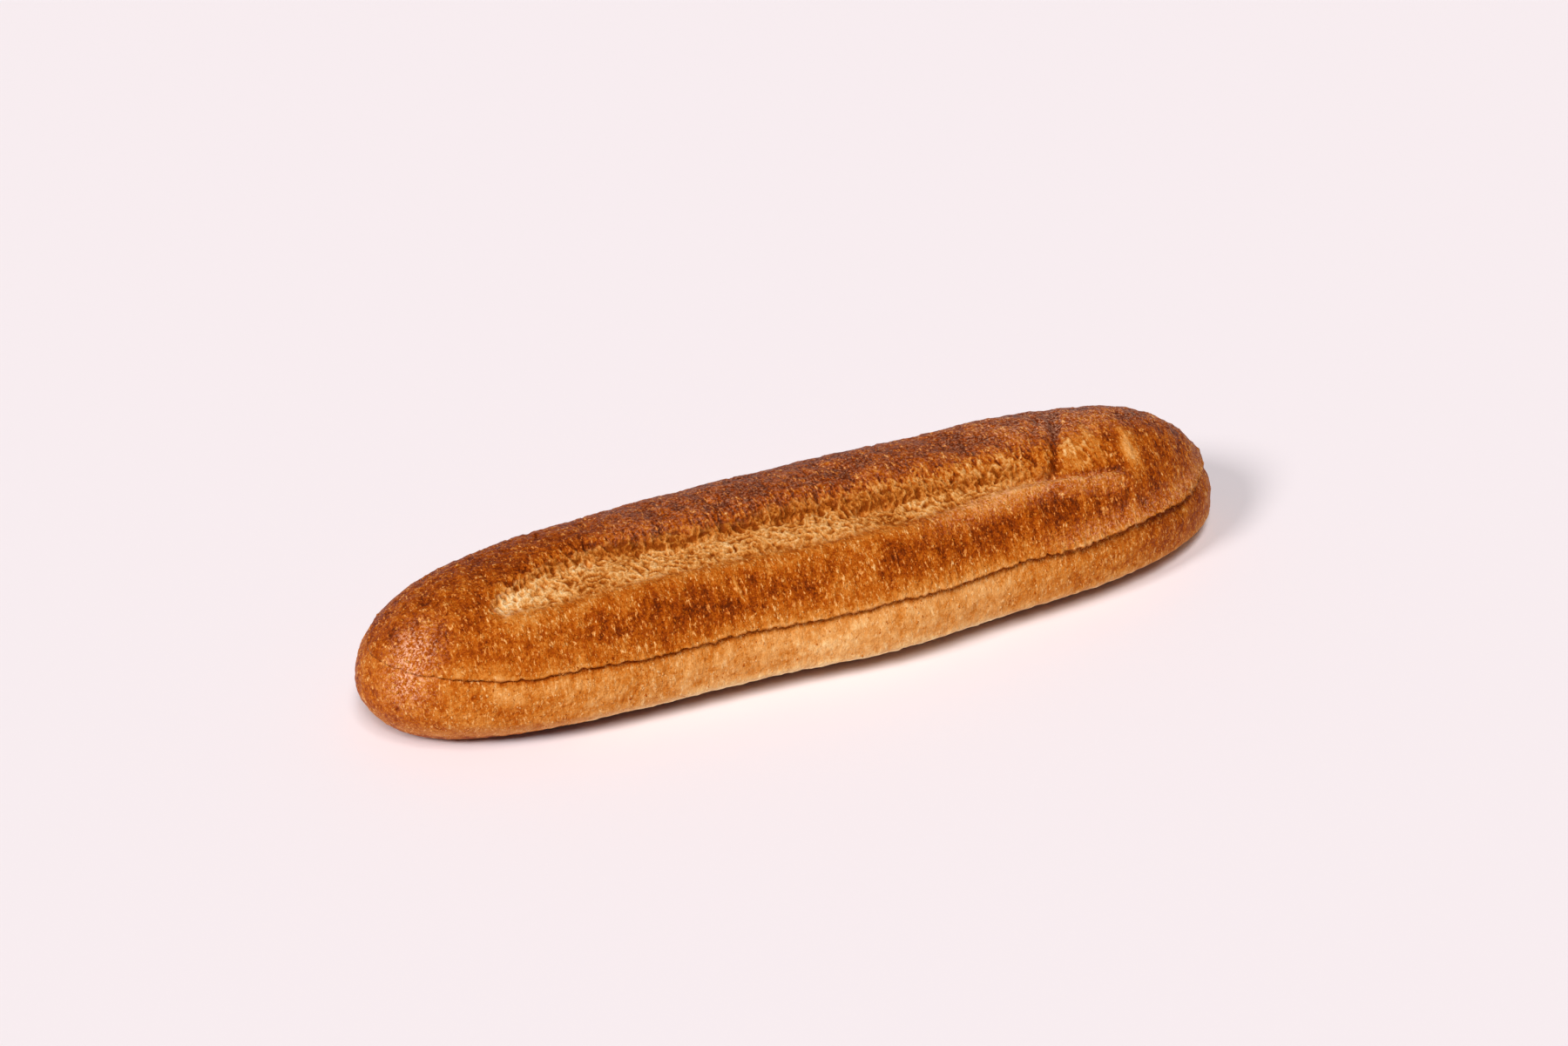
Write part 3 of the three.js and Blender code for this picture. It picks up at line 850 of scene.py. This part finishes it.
# %% Fit the skin to the part's box
low, high = [np.array(corner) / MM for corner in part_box("roll")]
own_low, own_high = skin[~fine].min(0), skin[~fine].max(0)
middle = (own_low + own_high) / 2
scale = np.minimum((high - low) / (own_high - own_low), 1)
skin = (skin - middle) * scale + (low + high) / 2
skin[:, 2] -= skin[~fine, 2].min()
normals = skin_normals()
print("fitted by", (scale * 100).round(1), "per cent")

# %% [markdown]
# Each piece becomes a mesh in metres. The masks ride along as named attributes, which a finish can
# read. Normals are smooth, since every edge of a loaf is soft.

# %% A helper that makes each piece
def make_piece(name, places, faces, values, finish):
    """A mesh object from places in millimetres, with a value for each vertex under each name."""
    mesh = bpy.data.meshes.new(name)
    mesh.from_pydata(places * MM, [], faces)
    mesh.validate()
    mesh.polygons.foreach_set("use_smooth", [True] * len(mesh.polygons))
    for key, value in values.items():
        kept = mesh.attributes.new(key, "FLOAT", "POINT")
        kept.data.foreach_set("value", value.astype(np.float32))
    mesh.materials.append(finish)
    piece = new_object(name, mesh)
    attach(piece, "root")
    print(name, "has", sum(len(p.vertices) - 2 for p in mesh.polygons), "triangles")
    return piece


crust_finish = bpy.data.materials.new("wholemeal_crust")

# %% [markdown]
# The tips and the lines where the two sides meet leave quads with a doubled corner. Each gives its
# second copy up and becomes a triangle, so no face is left without an area.

# %% The roll's skin
corners = [[v for k, v in enumerate(q) if v not in q[:k]] for q in quads.tolist()]
masks = {"tan_and_painted_light": tan_and_painted_light, "torn": torn, "painted_sheen": painted_sheen, "inner": inner, "light": crumb_light_and_shade}
own = {key: value[~fine] for key, value in masks.items()}
roll = make_piece("sub_roll", skin[~fine], corners, own, crust_finish)
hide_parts("roll")

# %% [markdown]
# The fine strip is closed underneath by a few long rows, well inside the loaf, and by a cap at each
# end.

# %% The strip as a closed body
UNDER_ROWS, UNDER_DEPTH = 6, 3
under = np.linspace(STRIP_POINTS - 1, 0, UNDER_ROWS).round().astype(int)
top_rows = skin[grid]
under_rows = top_rows[:, under] - [0, 0, UNDER_DEPTH]
loops = np.concatenate([top_rows, under_rows], 1)
caps = loops[[0, -1]].mean(1)
loop_index = np.arange(loops.shape[0] * loops.shape[1]).reshape(loops.shape[:2])
closed = np.concatenate([loop_index, loop_index[:, :1]], 1)
first_cap = [(a, b, loop_index.size) for a, b in zip(closed[0], closed[0, 1:])]
last_cap = [(b, a, loop_index.size + 1) for a, b in zip(closed[-1], closed[-1, 1:])]
strip_places = np.concatenate([loops.reshape(-1, 3), caps])


def strip_values(value):
    rows_of = value[grid]
    return np.concatenate([np.concatenate([rows_of, rows_of[:, under]], 1).ravel(), [0, 0]])


strip_masks = {key: strip_values(value) for key, value in masks.items()}
strip_faces = grid_quads(closed).tolist() + first_cap + last_cap
make_piece("torn_crumb", strip_places, strip_faces, strip_masks, crust_finish)

# %% [markdown]
# ## Flakes of bran
#
# Wholemeal flour keeps the husk of the grain, broken into flakes a millimetre or so long. They lie
# in the crust at all angles, and catch the light. They could be painted on as spots, but real
# flakes have edges and cast tiny shadows, so each is a small closed lens, six-sided and a little
# uneven, half sunk in the skin. Where they lie is drawn by chance, with a fixed seed.

# %% A helper that lays small bodies on the skin
SIDES = 6


def scatter(dice, chance, count):
    """Places on the skin, drawn by area and chance, with their normals and their quads."""
    odds = np.linalg.norm(facings(quads), axis=1) * chance[quads].mean(1)
    face = dice.choice(len(quads), count, p=odds / odds.sum())
    u, v = dice.random((2, count, 1))
    a, b, c, d = skin[quads[face]].swapaxes(0, 1)
    place = mix(mix(a, b, u), mix(d, c, u), v)
    return place, unit(normals[quads[face]].sum(1)), face


def lenses(dice, place, normal, heading, length, width, thick, curl):
    """A closed six-sided lens at each place, long along its heading, its ends curled up by curl."""
    count = len(place)
    side = unit(np.cross(normal, heading))
    long = np.cross(side, normal)
    turn = 2 * np.pi * np.arange(SIDES) / SIDES
    uneven = 1 + 0.28 * dice.uniform(-1, 1, (2, count, SIDES))
    u = np.cos(turn) * uneven[0] * length[:, None] / 2
    v = np.sin(turn) * uneven[1] * width[:, None] / 2
    w = curl[:, None] * (u / length[:, None] * 2) ** 2
    frame_of = np.stack([long, side, normal], 1)
    rim = place[:, None] + np.einsum("nkc,ncd->nkd", np.stack([u, v, w], -1), frame_of)
    tops = place + normal * thick[:, None]
    bottoms = place - normal * thick[:, None]
    points = np.concatenate([rim, tops[:, None], bottoms[:, None]], 1).reshape(-1, 3)
    k = np.arange(SIDES)
    following = (k + 1) % SIDES
    upward = np.stack([k, following, 0 * k + SIDES], 1)
    downward = np.stack([following, k, 0 * k + SIDES + 1], 1)
    one = np.concatenate([upward, downward])
    faces = (one + (SIDES + 2) * np.arange(count)[:, None, None]).reshape(-1, 3)
    return points, faces


print("a lens has", 2 * SIDES, "triangles")

# %% [markdown]
# Flakes lie thickest where the crust is brown, and never in the torn crumb or the slit. Most hang
# down the slope of the crust. On brown crust they are mostly paler than the skin round them, and on
# pale crust darker.

# %% Bran
BRAN_COUNT, BRAN_LENGTH, BRAN_THICK, BRAN_CURL = 8500, 0.66, 0.07, 0.02
dice = np.random.default_rng(21)
baked = (1 - torn) * smooth(z0, 1.2, 6) * (slit < 0.5)
baked *= 1 - smooth(crumbly, 0.02, 0.2)
place, normal, face = scatter(dice, baked * (0.35 + smooth(tan_and_painted_light, 0.3, 0.6)), BRAN_COUNT)
size = np.minimum(np.exp(dice.normal(0, 0.38, BRAN_COUNT)), 1.9)
fall = np.cross(normal, [1, 0.12, 0])
heading = fall + dice.normal(0, 0.55, (BRAN_COUNT, 3))
length = BRAN_LENGTH * size
width = length * dice.uniform(0.35, 0.75, BRAN_COUNT)
lean = unit(normal + dice.normal(0, 0.09, (BRAN_COUNT, 3)))
points, faces = lenses(
    dice, place, lean, heading, length, width, thick=BRAN_THICK * size, curl=BRAN_CURL * size
)
around_it = tan_and_painted_light[quads[face]].mean(1)
pale = dice.random(BRAN_COUNT) < smooth(around_it, 0.25, 0.55)
paler, darker = [dice.uniform(0.05, most, BRAN_COUNT) for most in (0.29, 0.22)]
bran_tone = around_it + np.where(pale, -paler, darker)
bran_finish = bpy.data.materials.new("bran")
tones = {"tone": np.repeat(bran_tone, SIDES + 2)}
bran = make_piece("bran", points, faces.tolist(), tones, bran_finish)

# %% [markdown]
# ## The crust's finish
#
# Baked crust is a skin of browned starch over crumb. Close to, its colour is never flat: drifts as wide as
# a thumb, clouds as wide as a pea, streaks down the shoulder, and a fine grain. Each layer is one noise,
# scaled to its real size. On top of them a pinkish sheen and small glints are painted into the colour.
# Where it is browned the skin has a soft sheen; torn crumb is dull. Fine relief that the mesh is too
# coarse for goes into bump.

# %% Small helpers for nodes
def start_tree(finish):
    finish.use_nodes = True
    finish.node_tree.nodes.clear()
    return finish.node_tree


def add(kind, inputs=None, **settings):
    """One node in the current tree: settings are its own options, inputs are values or sockets."""
    node = tree.nodes.new("ShaderNode" + kind)
    for key, value in settings.items():
        setattr(node, key, value)
    for key, value in (inputs or {}).items():
        if isinstance(value, bpy.types.NodeSocket):
            tree.links.new(value, node.inputs[key])
        else:
            node.inputs[key].default_value = value
    return node


def maths(operation, a, b=0.0, clamp=False):
    return add("Math", {0: a, 1: b}, operation=operation, use_clamp=clamp).outputs[0]


def total(*values):
    result = values[0]
    for value in values[1:]:
        result = maths("ADD", result, value)
    return result


def times(a, b):
    return maths("MULTIPLY", a, b)


def linear(colour):
    """An sRGB colour, 0 to 255, as the linear values that nodes hold."""
    c = np.array(colour) / 255
    return tuple(np.where(c <= 0.04045, c / 12.92, ((c + 0.055) / 1.055) ** 2.4)) + (1.0,)


def blend(share, a, b):
    """A mix of two colours: a node that mixes colours takes them at its sockets 6 and 7."""
    return add("Mix", {"Factor": share, 6: a, 7: b}, data_type="RGBA").outputs[2]


def band(value, low, high, to_low=0.0, to_high=1.0):
    """Value turned smoothly from one range to another, and held at its ends."""
    inputs = {"Value": value, "From Min": low, "From Max": high}
    inputs |= {"To Min": to_low, "To Max": to_high}
    return add("MapRange", inputs, interpolation_type="SMOOTHSTEP").outputs[0]


def mottle(size_mm, detail=2.0, roughness=0.55, stretch=(1, 1, 1), shift=0.0):
    """Noise from 0 to 1 with features of about size_mm, longer along an axis with a small stretch."""
    moved = {"Vector": here, "Scale": stretch, "Location": (shift, shift, shift)}
    place = add("Mapping", moved).outputs[0]
    inputs = {"Vector": place, "Scale": 1000 / size_mm, "Detail": detail, "Roughness": roughness}
    return add("TexNoise", inputs).outputs[0]


def centred(value, amount):
    """A 0 to 1 value turned into plus or minus half of amount."""
    return times(maths("SUBTRACT", value, 0.5), amount)


def tone_ramp(value, tones):
    ramp = add("ValToRGB", {"Fac": value})
    stops = ramp.color_ramp.elements
    while len(stops) < len(tones):
        stops.new(0.5)
    for stop, (place, colour) in zip(stops, tones):
        stop.position = place
        stop.color = linear(colour)
    return ramp.outputs[0]


def mask_of(name):
    return add("Attribute", attribute_name=name).outputs["Fac"]


def surface(colour, roughness, shine, tint=(1, 1, 1, 1), **more):
    """The last two nodes: a surface that mirrors little, and the output."""
    inputs = {"Base Color": colour, "Roughness": roughness, **more}
    inputs |= {"Specular IOR Level": shine, "Specular Tint": tint}
    add("OutputMaterial", {"Surface": add("BsdfPrincipled", inputs).outputs[0]})


print("mid grey in linear light:", round(float(linear((128, 128, 128))[0]), 3))

# %% [markdown]
# The ramp of the crust runs from cream to nearly black brown. Its place in the ramp is the browning that
# came with the vertices, with its painted light and shade, moved by every layer of noise. The darker the
# crust the livelier it is, while the pale lower half stays calm.

# %% The crust's colour
CRUST_TONES = [
    (0.00, (255, 225, 170)),
    (0.15, (240, 192, 130)),
    (0.30, (224, 156, 86)),
    (0.45, (204, 122, 44)),
    (0.60, (180, 88, 11)),
    (0.75, (150, 62, 4)),
    (0.90, (122, 46, 4)),
    (1.00, (92, 32, 4)),
]
tree = start_tree(crust_finish)
here = add("TexCoord").outputs["Object"]
tan_and_light_mask, torn_mask, painted_sheen_mask, slit_shade_mask = (mask_of(n) for n in ("tan_and_painted_light", "torn", "painted_sheen", "inner"))

drift = mottle(24, 2)
cloud = mottle(5.5, 3, 0.6)
grain = mottle(0.95, 3, 0.8)
streak = mottle(1.7, 3, 0.7, (1, 0.3, 0.3))
lively = band(tan_and_light_mask, 0.3, 0.85, 0.45, 1.5)
# Pale specks: partly pale grains, partly painted glints of light on the bumps.
speck_and_glint = band(mottle(0.8, 2, 0.6, (1, 0.4, 0.4), 3), 0.55, 0.7)
pit = band(mottle(1.0, 2, 0.6, shift=7), 0.56, 0.74)
patchy = total(centred(cloud, 0.34), centred(grain, 0.78), centred(streak, 0.5))
patchy = total(patchy, times(speck_and_glint, -0.3), times(pit, 0.12))
tone = total(tan_and_light_mask, centred(drift, 0.12), times(patchy, lively))
crust_colour = blend(times(speck_and_glint, 0.16), tone_ramp(tone, CRUST_TONES), linear((240, 160, 96)))
# Painted sheen: a pinkish grain mixed into the colour where the sheen mask says.
sheen_grain = band(mottle(0.85, 3, 0.75, shift=5), 0.47, 0.64)
crust_colour = blend(times(times(sheen_grain, painted_sheen_mask), 0.85), crust_colour, linear((242, 178, 142)))
print(len(tree.nodes), "nodes in the crust's colour")

# %% [markdown]
# Torn crumb never browned through: it is straw and honey. Its ramp is read from a finer and rougher noise
# than the crust's; the same noise lifts its bump, so its hollows are painted darker, as shade. Inside the
# mouth of the cut a warm brown is painted as shade, as the little light in there has met bread on every
# side.

# %% The torn crumb's colour
CRUMB_TONES = [
    (0.0, (138, 62, 10)),
    (0.25, (186, 104, 32)),
    (0.5, (222, 150, 76)),
    (0.72, (242, 186, 120)),
    (1.0, (255, 226, 178)),
]
tufty = mottle(2.6, 4, 0.7)
tuft_fine = mottle(0.75, 3, 0.75, (1, 0.6, 0.6))
crumb_tone = total(mask_of("light"), centred(tufty, 0.4), centred(tuft_fine, 1.1))
crumb_colour = tone_ramp(crumb_tone, CRUMB_TONES)
torn_share = band(total(torn_mask, centred(grain, 0.5), centred(cloud, 0.3)), 0.1, 0.95)
colour = blend(torn_share, crust_colour, crumb_colour)
# Painted shade in the slit: a warm dark brown.
painted_slit_shade = blend(mottle(1.2, 3), linear((172, 80, 8)), linear((206, 116, 34)))
colour = blend(times(slit_shade_mask, 0.9), colour, painted_slit_shade)
print(len(tree.nodes), "nodes with the crumb's colour")

# %% [markdown]
# ## Sheen and fine relief
#
# Roughness falls as the skin browns, and rises again in torn crumb, with a little noise so that the
# light breaks up. Two bumps are laid over one another: the leathery grain of the skin, and the
# broken cells of the crumb. Crust hardly mirrors anything, and what shine it has is warm.

# %% The crust's surface
SKIN_BUMP, CRUMB_BUMP = 0.0015, 0.0008
WARM_SHINE = linear((255, 190, 140))
pebble = mottle(1.3, 3, 0.7)
skin_height = total(times(pebble, 0.6), times(streak, 0.35), times(speck_and_glint, 0.06))
skin_share = times(band(torn_mask, 0.1, 0.7, 1.0, 0.3), band(tan_and_light_mask, 0.2, 0.6, 0.6, 1.0))
skin_bump = add("Bump", {"Height": times(skin_height, skin_share), "Distance": SKIN_BUMP, "Strength": 1.0})
crumb_height = times(total(tufty, times(tuft_fine, 0.6)), torn_share)
crumb_bump = add("Bump", {"Height": crumb_height, "Distance": CRUMB_BUMP, "Strength": 1.0})
tree.links.new(skin_bump.outputs[0], crumb_bump.inputs["Normal"])
gloss = total(band(tan_and_light_mask, 0.3, 0.7, 0.55, 0.45), centred(grain, 0.2), times(torn_share, 0.3))
surface(colour, gloss, 0.1, WARM_SHINE, Normal=crumb_bump.outputs[0])
print(len(tree.nodes), "nodes in the crust's finish")


# %% [markdown]
# ## The flakes' finish
#
# Each flake has one tone, kept with its vertices, and reads the same ramp as the skin it lies in. A
# fine noise keeps even these small bodies from being flat. Husk is waxy, so it could shine, but
# under a bake it is dull.

# %% The bran's surface
tree = start_tree(bran_finish)
here = add("TexCoord").outputs["Object"]
husk_grain = mottle(0.6, 2, 0.6)
husk_colour = tone_ramp(total(mask_of("tone"), centred(husk_grain, 0.25)), CRUST_TONES)
husk_gloss = total(0.5, centred(husk_grain, 0.2))
surface(husk_colour, husk_gloss, 0.08, WARM_SHINE)
print("finished", bran.name)

# %% [markdown]
# ## The studio
#
# The roll lies on a seamless pale sheet, white with a breath of pink. It is simply a wide plane,
# since the lens looks down so far that no horizon shows.

# %% Floor
SHEET_REACH = 4
sheet_corners = SHEET_REACH * np.array([(-1, -1, 0), (1, -1, 0), (1, 1, 0), (-1, 1, 0)])
floor_mesh = bpy.data.meshes.new("sheet")
floor_mesh.from_pydata(sheet_corners.tolist(), [], [(0, 1, 2, 3)])
floor = new_object("sheet", floor_mesh)
sheet_finish = bpy.data.materials.new("seamless_sheet")
tree = start_tree(sheet_finish)
surface((0.885, 0.810, 0.838, 1), 0.9, 0.1)
floor_mesh.materials.append(sheet_finish)
print("the sheet is", 2 * SHEET_REACH, "m wide")


# %% [markdown]
# A soft key lamp stands to the left, a little on the viewer's side, at some forty degrees: it rakes
# along the crust and throws the soft shadow off the right end. A fill stands high on the viewer's
# side and keeps the near side bright, and a third lamp, nearly overhead, lights the top. All three
# are distant lamps, which light the whole length alike. The rest comes from a pale room that is
# brightest at the back, which puts the faint sheen on the ridge.

# %% Lamps and room
def lamp(name, direction, angle, power, colour=(1, 1, 1)):
    """A distant lamp that stands in a direction; a wider angle makes softer shadows."""
    light = new_object(name, bpy.data.lights.new(name, "SUN"))
    light.data.angle = angle
    light.data.energy = power
    light.data.color = colour
    light.rotation_euler = Vector(direction).to_track_quat("Z", "Y").to_euler()
    falling = power * Vector(direction).normalized().z / np.pi
    print(name, "gives", round(falling, 2), "of white on the sheet")


lamp("key", direction=(-0.75, -0.245, 0.616), angle=0.27, power=1.75, colour=(1, 0.985, 0.97))
lamp("fill", direction=(-0.25, -0.55, 0.8), angle=0.3, power=1.42)
lamp("overhead", direction=(-0.05, -0.4, 0.91), angle=0.25, power=0.72)

room = bpy.data.worlds.new("room")
tree = start_tree(room)
gaze = add("SeparateXYZ", {"Vector": add("TexCoord").outputs["Generated"]}).outputs
backwards = total(times(gaze[1], 0.9), times(gaze[0], 0.4))
brightness = band(backwards, -0.3, 0.9, 0.1, 0.26)
glow = add("Background", {"Color": (1, 0.95, 0.935, 1), "Strength": brightness})
add("OutputWorld", {"Surface": glow.outputs[0]})
bpy.context.scene.world = room
bpy.context.scene.view_settings.view_transform = "Standard"
